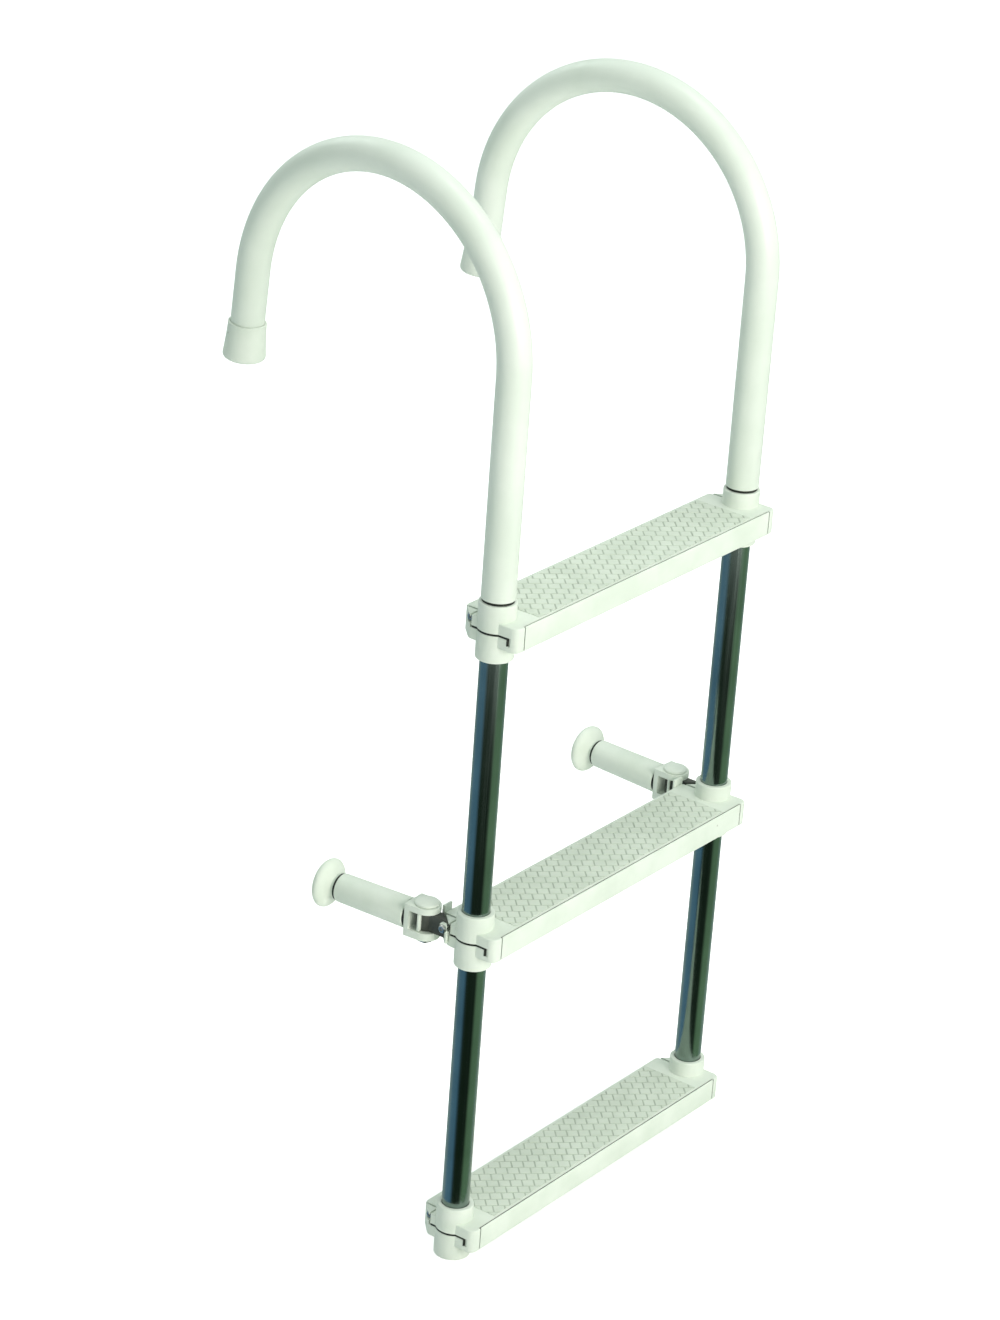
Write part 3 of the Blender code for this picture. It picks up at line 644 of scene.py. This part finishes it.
def makeStepBody():
    s = step
    body = block("step_body", (-s["halfLength"], s["front"], -s["skirt"]), (s["halfLength"], s["back"], 0))
    bevelUprightEdges(body, lambda co: co.y < 0, s["frontCorner"], 5)
    bevelUprightEdges(body, lambda co: co.y > s["back"] - 0.1 * mm, s["backCorner"], 1)
    bevelUprightEdges(body, lambda co: co.y > s["back"] - s["backCorner"] - 1 * mm, s["cornerEase"], 4)
    roundEdges(body, s["edgeRound"], 3, 60)
    addUnderside(body)
    for side in sides.values():
        addCollar(body, side)
        addScrewSeats(body, side)
    addFrontPanel(body)
    return body


pads = {"pitch": 9.6 * mm, "gap": 1.0 * mm, "height": 0.45 * mm, "turn": -45.0,
        "halfX": 140 * mm, "frontY": -23.5 * mm, "backY": 27.5 * mm, "across": 35, "taper": 0.96}


def makePads():  # staggered raised squares, set slantwise across the tread
    p = pads
    half = (p["pitch"] - p["gap"]) / 2
    first = (p["across"] - 1) / 2  # how many pitches the first pad is from the middle
    rows = []
    for shift in (0, 0.5):
        pad = block("pad", (-half, -half, -0.4 * mm), (half, half, p["height"]))
        pick(pad)
        bpy.ops.object.mode_set(mode="EDIT")
        bpy.ops.mesh.select_all(action="DESELECT")
        selectWhere(pad, lambda co: co.z > 0)
        bpy.ops.transform.resize(value=(p["taper"], p["taper"], 1), center_override=(0, 0, 0))
        bpy.ops.object.mode_set(mode="OBJECT")
        place(pad, Matrix.Translation(((shift - first) * p["pitch"], (2 * shift - first) * p["pitch"], 0)))
        repeat(pad, p["across"], (p["pitch"], 0, 0))
        repeat(pad, (p["across"] + 1) // 2, (0, 2 * p["pitch"], 0))
        rows.append(pad)
    pick(rows[0])
    rows[1].select_set(True)
    bpy.ops.object.join()
    sheet = rows[0]
    place(sheet, Matrix.Rotation(math.radians(p["turn"]), 4, "Z"))
    trim(sheet, (p["halfX"], 0, 0), (1, 0, 0))
    trim(sheet, (-p["halfX"], 0, 0), (-1, 0, 0))
    trim(sheet, (0, p["frontY"], 0), (0, -1, 0))
    trim(sheet, (0, p["backY"], 0), (0, 1, 0))
    tidyMesh(sheet)
    return sheet


stepBody = makeStepBody()
stepPads = makePads()
stepShadeFiller = makeShadeFiller()
# a thin sheet under the pads, darker than them as painted shade between the raised squares
stepGround = block(
    "ground", (-pads["halfX"], pads["frontY"], -0.3 * mm), (pads["halfX"], pads["backY"], 0.07 * mm))
stepPieces = ((stepBody, "step_moulding_", mouldedPlastic), (stepPads, "tread_pads_", treadPlastic),
              (stepGround, "tread_ground_", groundShade), (stepShadeFiller, "slit_liner_", darkRubber))
for name, height in ladder["treads"].items():
    for model, label, look in stepPieces:
        piece = copyOf(model, label + name)
        place(piece, Matrix.Translation((0, ladder["railY"], height)))
        replaced = ["step_" + name] if model is stepBody else []
        finishPiece(piece, "ladder", look, "white_moulded_plastic", *replaced)
for model in (stepBody, stepPads, stepGround, stepShadeFiller):
    bpy.data.objects.remove(model, do_unlink=True)
print("steps made")


# clamp screws, a short one for a plain collar and a long one that also holds a bracket

def makeScrewModel(name, reach):
    s = screw
    outline = [(0.0, -reach), (s["shank"] * 0.7, -reach)]
    outline += [(s["shank"], -reach + 0.6 * mm), (s["shank"], 0.3 * mm), (s["head"], 0.3 * mm)]
    outline += [(s["head"], 1.2 * mm), (s["head"] * 0.93, 1.9 * mm), (s["head"] * 0.7, 2.5 * mm)]
    outline.append((0.0, 2.7 * mm))
    model = turned(name, outline, steps=32)
    cut(model, drum("socket", 1.5 * mm, 1.2 * mm, 4 * mm, facets=6))
    return model


shortScrew = makeScrewModel("short_screw", screw["reach"])
longScrew = makeScrewModel("long_screw", screw["reach"] + screw["further"])
for name, height in ladder["treads"].items():
    for sideName, side in sides.items():
        middle = name == "middle"
        piece = copyOf(longScrew if middle else shortScrew, "screw_" + name + "_" + sideName)
        x = side * (ladder["railX"] + screw["seat"] + (screw["further"] if middle else 0))
        seat = (x, ladder["railY"] + screw["behind"], height - screw["below"])
        place(piece, Matrix.Translation(seat) @ Matrix.Rotation(side * math.pi / 2, 4, "Y"))
        finishPiece(piece, "ladder", fastenerSteel, "stainless_steel", "clamp_screw_" + name + "_" + sideName)
for model in (shortScrew, longScrew):
    bpy.data.objects.remove(model, do_unlink=True)
print("screws made")


# stand-offs, made about the hinge pin with the arm along +Y, then put in place

bracket = {  # in plan from the rail's axis; boss, rib and slanted part from the hinge pin
    "plate": 2.0 * mm, "cheek": 3.0 * mm, "cheekFrom": 16.6 * mm, "slantLow": -9 * mm, "slantHigh": 1 * mm,
    "tongueHalf": 4.5 * mm, "tongueEnd": 42 * mm, "boss": 7.6 * mm, "ribHalf": 1 * mm,
    "ribOutboard": 10.6 * mm, "ribInboard": 9.2 * mm, "pinOutboard": 6.2 * mm, "pinBelow": 7.8 * mm,
    "clearance": 0.5 * mm,
}
standoff = {
    "toeOut": 3.2,
    "half": 13.75 * mm,
    "radius": 11.5 * mm,
    "topPlate": 5 * mm,
    "bottomPlate": 6.5 * mm,
    "post": 4.2 * mm,
    "postAt": 9.0 * mm,
    "armRoot": 15.4 * mm,
    "armEnd": 80.8 * mm,
    "armRadius": 12.5 * mm,
    "armEndRadius": 11.7 * mm,
    "headRadius": 9.8 * mm,
    "pinRadius": 4 * mm,
    "pinHole": 4.3 * mm,
    "nutHeight": 4 * mm,
    "spigotRadius": 9.2 * mm,
    "spigotLength": 16.8 * mm,
    # height of the near-black ring at the arm's root, painted shade in its slot
    "washer": 1.9 * mm,
}


def slantSum(off):  # x + y of a line that runs beside the step's slanted corner, this far off it
    corner = step["halfLength"] - ladder["railX"] + step["back"] - step["backCorner"]
    return corner + math.sqrt(2) * off


pinReach = gap + bracket["plate"] + bracket["clearance"] + standoff["radius"]
standoff["pin"] = (
    ladder["railX"] + bracket["pinOutboard"],
    ladder["railY"] + slantSum(pinReach) - bracket["pinOutboard"],
    ladder["treads"]["middle"] - bracket["pinBelow"])
windowLow = -standoff["half"] + standoff["bottomPlate"]
windowHigh = standoff["half"] - standoff["topPlate"]
alongY = Matrix.Rotation(-math.pi / 2, 4, "X")


def standoffPlace(side, toed=True):
    x, y, z = standoff["pin"]
    spot = Matrix.Translation((side * x, y, z))
    if not toed:
        return spot
    return spot @ Matrix.Rotation(math.radians(-side * standoff["toeOut"]), 4, "Z")


def pinBore():
    return drum("pinHole", standoff["pinHole"], -20 * mm, 20 * mm, facets=32)


def makeKnuckle(name):
    s = standoff
    back = s["postAt"] + s["post"]
    body = drum("knuckle", s["radius"], -s["half"], s["half"], facets=72)
    weld(body, block("square", (-s["radius"], 0, -s["half"]), (s["radius"], back, s["half"])))
    roundEdges(body, 1.2 * mm, 4, 50)
    window = block("window", (-20 * mm, -20 * mm, windowLow), (20 * mm, s["postAt"], windowHigh), 1.0 * mm)
    cut(body, window, pinBore())
    radius, length = s["spigotRadius"], s["spigotLength"]
    spigot = turned("spigot", [(0.0, 0.0), (radius, 0.0), (radius, length), (0.0, length)], 48)
    weld(body, place(spigot, Matrix.Translation((0, back - 1 * mm, 0)) @ alongY))
    body.name = name
    return body


def makeArm(name):  # bored out for the knuckle's spigot, with a solid end for the foot's stem
    s = standoff
    root, end, bore = s["armRoot"], s["armEnd"], s["spigotRadius"] + gap
    solidFrom = end - 12 * mm
    outline = [(bore, solidFrom), (bore, root)]
    outline += arcPoints((s["armRadius"] - 1 * mm, root + 1 * mm), 1 * mm, -90, 0, 4)
    outline += arcPoints((s["armEndRadius"] - 1.2 * mm, end - 1.2 * mm), 1.2 * mm, 0, 90, 4)
    outline += [(s["pinHole"], end), (s["pinHole"], solidFrom)]
    arm = turned(name, outline, steps=64, closed=True)
    return place(arm, alongY)


def makePin(name):
    top = standoff["half"] + gap
    tail = -top - standoff["nutHeight"]
    head, pin = standoff["headRadius"], standoff["pinRadius"]
    outline = [(0.0, tail), (pin - 0.6 * mm, tail), (pin, tail + 0.6 * mm), (pin, top)]
    outline += [(head - 0.2 * mm, top), (head, top + 0.3 * mm), (head, top + 1.2 * mm)]
    for t in (0.25, 0.5, 0.75, 1.0, 1.3):  # the dome
        outline.append((head * math.cos(t), top + 1.2 * mm + 2.0 * mm * math.sin(t)))
    outline.append((0.0, top + 3.25 * mm))
    return turned(name, outline, steps=48)


mushroom = {  # the foot: a flattened ball on a short neck, flat where it rests on the hull
    "off": 1.8 * mm, "thick": 15.5 * mm, "radius": 20 * mm, "neck": 9.8 * mm, "neckLength": 3 * mm,
    "stemDepth": 7.4 * mm, "fromDeg": 31, "toDeg": 156, "rings": 14,
}


def makeFoot(name):
    m = mushroom
    base, hole, neck = standoff["armEnd"] + m["off"], standoff["pinHole"], m["neck"]
    inside, half = base + m["stemDepth"], m["thick"] / 2
    middle = base + m["neckLength"] + half
    outline = [(0.0, inside), (hole, inside), (hole, base), (neck - 0.5 * mm, base)]
    outline += [(neck, base + 0.5 * mm), (neck, base + 2.6 * mm)]
    for i in range(1, m["rings"] + 1):
        t = math.radians(m["fromDeg"] + (m["toDeg"] - m["fromDeg"]) * i / m["rings"])
        outline.append((m["radius"] * math.sin(t), middle - half * math.cos(t)))
    outline.append((0.0, middle - half * math.cos(math.radians(m["toDeg"])) + 0.1 * mm))
    return place(turned(name, outline, steps=64), alongY)


def bracketPlan():  # plate and cheek, seat and tongue in plan, for the right-hand side
    end = step["halfLength"] - ladder["railX"]
    near, far = step["back"] + gap, step["back"] + gap + bracket["plate"]
    inX, outX, low = end + gap, end + gap + bracket["cheek"], bracket["cheekFrom"]
    inner, outer = slantSum(gap), slantSum(gap + bracket["plate"])
    middle = slantSum(gap + bracket["plate"] / 2)
    plate = [(-end, near), (inner - near, near), (inX, inner - inX), (inX, low), (outX, low)]
    plate += [(outX, outer - outX), (outer - far, far), (-end, far)]
    seatX, seatTop = screw["seat"] + screw["further"], screw["behind"] + screw["head"]
    seatLow = low + gap
    seat = [(middle - seatLow, seatLow), (seatX, seatLow), (seatX, seatTop), (middle - seatTop, seatTop)]
    pinX, half, tongueEnd = bracket["pinOutboard"], bracket["tongueHalf"], bracket["tongueEnd"]
    left, right = pinX - half, pinX + half
    tongue = [(right, middle - right), (right, tongueEnd), (left, tongueEnd), (left, middle - left)]
    return {"plate": plate, "seat": seat, "tongue": tongue}


def railFromPin():
    x, y, z = standoff["pin"]
    return Vector((ladder["railX"] - x, ladder["railY"] - y, ladder["treads"]["middle"] - z))


def planFromPin(key):  # the same points measured from the hinge pin
    rail = railFromPin()
    return [(rail.x + x, rail.y + y) for x, y in bracketPlan()[key]]


def makeBracket(name):  # in the hinge pin's place but square to the step
    rail, half = railFromPin(), standoff["half"] - gap
    plate = prism("plate", planFromPin("plate"), -half, half)
    roundEdges(plate, 0.25 * mm, 2, 50)
    near, far = (rail.x - 1 * mm, rail.y + 10 * mm), (rail.x + 20 * mm, rail.y + 40 * mm)
    for low, high in ((-20 * mm, bracket["slantLow"]), (bracket["slantHigh"], 20 * mm)):
        cut(plate, block("step", (*near, low), (*far, high)))  # the slanted part is lower than the plate
    screwZ = rail.z - screw["below"]
    weld(plate, prism("seat", planFromPin("seat"), screwZ - screw["head"], screwZ + screw["head"]))
    hole = drum("screwHole", screw["hole"], -8 * mm, 8 * mm, facets=24)
    spot = Matrix.Translation((rail.x + 12 * mm, rail.y + screw["behind"], screwZ))
    cut(plate, place(hole, spot @ Matrix.Rotation(math.pi / 2, 4, "Y")))
    plate.name = name
    return plate


def makeTongue(name):  # the bracket's tongue and boss, coloured near black as painted shade, which fill the knuckle's windows
    low, high = windowLow + gap, windowHigh - gap
    tongue = prism(name, planFromPin("tongue"), low, high)
    roundEdges(tongue, 0.4 * mm, 2, 50)
    weld(tongue, drum("boss", bracket["boss"], low, high, rim=0.5 * mm, facets=48))
    cut(tongue, pinBore())
    return tongue


def makeRib(name):  # a pale rib across the boss, seen as a bar in each window
    low, high = windowLow + 2 * gap, windowHigh - 2 * gap
    near = (-bracket["ribInboard"], -bracket["ribHalf"], low)
    rib = block(name, near, (bracket["ribOutboard"], bracket["ribHalf"], high), 0.4 * mm)
    cut(rib, pinBore())
    return rib


def makeHingeNut(name):  # a hexagon nut with a washer face
    high = -standoff["half"] - gap
    low = high - standoff["nutHeight"]
    nut = drum(name, 6.4 * mm, low, high, rim=0.5 * mm, facets=6)
    cut(nut, drum("hole", 4.1 * mm, -30 * mm, 0, facets=32))
    return nut


def makeShadeRings(sideName, side):  # near-black rings as painted shade in the slots at the arm's root and at the foot
    s = standoff
    high, low = s["armRoot"] - 0.1 * mm, s["armEnd"] + 0.1 * mm
    root = washerRing("root_washer_" + sideName, 11.6 * mm, 9.4 * mm, high - s["washer"], high)
    end = washerRing("foot_washer_" + sideName, 10.8 * mm, s["pinHole"], low, low + 1.6 * mm)
    for ring, body in ((root, "standoff_" + sideName), (end, "foot_" + sideName)):
        place(ring, standoffPlace(side) @ alongY)
        finishPiece(ring, body, darkRubber, "grey_nylon")


bracketModel = makeBracket("bracket_model")
tongueModel = makeTongue("tongue_model")
ribModel = makeRib("rib_model")
models = {"knuckle": makeKnuckle("knuckle_model"), "arm": makeArm("arm_model"), "pin": makePin("pin_model"),
          "nut": makeHingeNut("nut_model"), "foot": makeFoot("foot_model")}
for sideName, side in sides.items():
    double = mirrored if side < 0 else copyOf
    for model, label, look in (
            (tongueModel, "hinge_tongue_", tongueShade), (ribModel, "hinge_rib_", mouldedPlastic)):
        piece = double(model, label + sideName)
        place(piece, standoffPlace(side, toed=False))
        finishPiece(piece, "ladder", look, "white_moulded_plastic")
    hinge = double(bracketModel, "hinge_bracket_" + sideName)
    place(hinge, standoffPlace(side, toed=False))
    finishPiece(hinge, "ladder", mouldedPlastic, "white_moulded_plastic", "standoff_bracket_" + sideName)
    body = "standoff_" + sideName
    for kind, material, slotName, replaced in (
            ("knuckle", mouldedPlastic, "white_moulded_plastic", "standoff_knuckle_"),
            ("arm", mouldedPlastic, "white_moulded_plastic", "standoff_arm_"),
            ("pin", mouldedPlastic, "white_moulded_plastic", "hinge_pin_"),
            ("nut", fastenerSteel, "stainless_steel", "hinge_nut_")):
        piece = copyOf(models[kind], kind + "_" + sideName)
        place(piece, standoffPlace(side))
        finishPiece(piece, body, material, slotName, replaced + sideName)
    foot = copyOf(models["foot"], "foot_" + sideName)
    place(foot, standoffPlace(side))
    finishPiece(foot, "foot_" + sideName, footRubber, "white_rubber", "standoff_foot_" + sideName)
    makeShadeRings(sideName, side)
for model in [bracketModel, tongueModel, ribModel] + list(models.values()):
    bpy.data.objects.remove(model, do_unlink=True)
print("stand-offs made")


# the pieces that sit inside keep their own solids and get a finish

for name, node in nodes.items():
    if "spigot" in name:
        finish = innerNylon
    elif "plug" in name:
        finish = mouldedPlastic
    elif "nut" in name or "stem" in name:
        finish = fastenerSteel
    else:
        continue
    node.data.materials.clear()
    node.data.materials.append(finish)


# floor, light and camera

stage = {
    "floorZ": -861.0 * mm, "floor": "#F4F4F2", "lift": 0.62, "worldLight": 0.56,
    # what shines in the tubes, round the compass from behind, past the left and the front to the right
    "shine": ((0.0, "#A9BDBB"), (0.15, "#9DB6BC"), (0.2, "#7EA6C4"), (0.34, "#6F9BBE"), (0.4, "#2A3A2C"),
              (0.6, "#26342A"), (0.66, "#86A884"), (0.8, "#8DAE8C"), (0.86, "#A5BDB2"), (1.0, "#A9BDBB")),
    "shineTurn": 215.6, "sky": (0.95, 0.98, 0.96, 1.0),
}
lamps = {  # place, height of the aim on the origin's upright, size, power and tint
    "key": {"at": (-0.9, -3.3, 0.8), "aimZ": -0.45, "size": (1.6, 1.6), "power": 76, "tint": "#FFFCF6"},
    "top": {"at": (0.7, -0.6, 3.0), "aimZ": -0.4, "size": (1.6, 1.6), "power": 40, "tint": "#F4FAF4"},
    "rim": {"at": (0.6, 2.8, 1.8), "aimZ": -0.4, "size": (1.6, 1.0), "power": 25, "tint": "#F4FBF6"},
}
view = {
    "location": (-2.4988, -1.8112, 0.9438),
    "azimuth": -54.40,
    "elevation": 24.09,
    "roll": 4.116,
    "lens": 115.1,
}


def eitherRay(tree, rays, first, second):
    return addNode(tree, "Math", {0: rays.outputs[first], 1: rays.outputs[second]}, operation="MAXIMUM")


def makeFloor():
    clearSelection()
    bpy.ops.mesh.primitive_plane_add(size=60, location=(0, 0, stage["floorZ"]))
    floor = bpy.context.object
    floor.name = "studio_floor"
    # near white, lifted for the eye only, so shadows still show
    material = bpy.data.materials.new("paleFloor")
    material.use_nodes = True
    tree = material.node_tree
    shader = tree.nodes["Principled BSDF"]
    shader.inputs["Base Color"].default_value = linear(stage["floor"])
    shader.inputs["Roughness"].default_value = 0.9
    shader.inputs["Emission Color"].default_value = (1, 1, 1, 1)
    rays = addNode(tree, "LightPath")
    seen = eitherRay(tree, rays, "Is Camera Ray", "Is Glossy Ray")
    lift = addNode(tree, "Math", {0: seen.outputs[0]}, operation="MULTIPLY")
    lift.inputs[1].default_value = stage["lift"]
    tree.links.new(lift.outputs[0], shader.inputs["Emission Strength"])
    floor.data.materials.append(material)
    floor.visible_glossy = False


def makeShine(tree):  # darker and tinted below the horizon, white above, so the bare tubes have bands
    where = addNode(tree, "TexCoord").outputs["Generated"]
    turn = addNode(tree, "VectorRotate", {"Vector": where}, rotation_type="Z_AXIS")
    turn.inputs["Angle"].default_value = math.radians(-stage["shineTurn"])
    part = addNode(tree, "SeparateXYZ", {"Vector": turn.outputs["Vector"]})
    angle = addNode(tree, "Math", {0: part.outputs["Y"], 1: part.outputs["X"]}, operation="ARCTAN2")
    compass = spread(tree, angle.outputs[0], -math.pi, math.pi, 0.0, 1.0)
    bands = ramp(tree, compass, [(at, linear(colour)) for at, colour in stage["shine"]])
    above = spread(tree, part.outputs["Z"], -0.1, 0.15, 0.0, 1.0)
    sky = mixColours(tree, above, bands, stage["sky"])
    return addNode(tree, "Background", {"Color": sky}, Strength=1.0)


def makeWorld():
    world = bpy.data.worlds.new("studio")
    bpy.context.scene.world = world
    world.use_nodes = True
    tree = world.node_tree
    tree.nodes.clear()
    rays = addNode(tree, "LightPath")
    seen = eitherRay(tree, rays, "Is Camera Ray", "Is Transmission Ray")
    white = addNode(tree, "Background", Color=(1, 1, 1, 1), Strength=1.0)
    light = addNode(tree, "Background", Color=linear("#DAEAE6"), Strength=stage["worldLight"])
    shine = makeShine(tree)
    glossy = rays.outputs["Is Glossy Ray"]
    lit = addNode(tree, "MixShader", {0: glossy, 1: light.outputs[0], 2: shine.outputs[0]})
    mix = addNode(tree, "MixShader", {0: seen.outputs[0], 1: lit.outputs[0], 2: white.outputs[0]})
    addNode(tree, "OutputWorld", {"Surface": mix.outputs[0]})


def makeLamp(name, settings):
    lamp = bpy.data.lights.new(name, "AREA")
    lamp.shape = "RECTANGLE"
    lamp.size, lamp.size_y = settings["size"]
    lamp.energy = settings["power"]
    lamp.color = linear(settings["tint"])[:3]
    obj = bpy.data.objects.new(name, lamp)
    bpy.context.scene.collection.objects.link(obj)
    aim = Vector((0, 0, settings["aimZ"])) - Vector(settings["at"])
    obj.location = settings["at"]
    obj.rotation_euler = aim.to_track_quat("-Z", "Y").to_euler()


def makeCamera():
    a, e, r = (math.radians(view[k]) for k in ("azimuth", "elevation", "roll"))
    back = Vector((math.sin(a) * math.cos(e), -math.cos(a) * math.cos(e), math.sin(e)))
    right = Vector((math.cos(a), math.sin(a), 0))
    up = back.cross(right)
    rolledRight = math.cos(r) * right + math.sin(r) * up
    rolledUp = -math.sin(r) * right + math.cos(r) * up
    turn = Matrix((rolledRight, rolledUp, back)).transposed()
    camera = bpy.data.objects.new("camera", bpy.data.cameras.new("camera"))
    camera.data.lens = view["lens"]
    camera.data.clip_end = 200
    camera.matrix_world = Matrix.Translation(view["location"]) @ turn.to_4x4()
    bpy.context.scene.collection.objects.link(camera)
    bpy.context.scene.camera = camera


makeFloor()
makeWorld()
for name, settings in lamps.items():
    makeLamp(name, settings)
makeCamera()
scene = bpy.context.scene
scene.view_settings.view_transform = "Standard"
print("stage made")
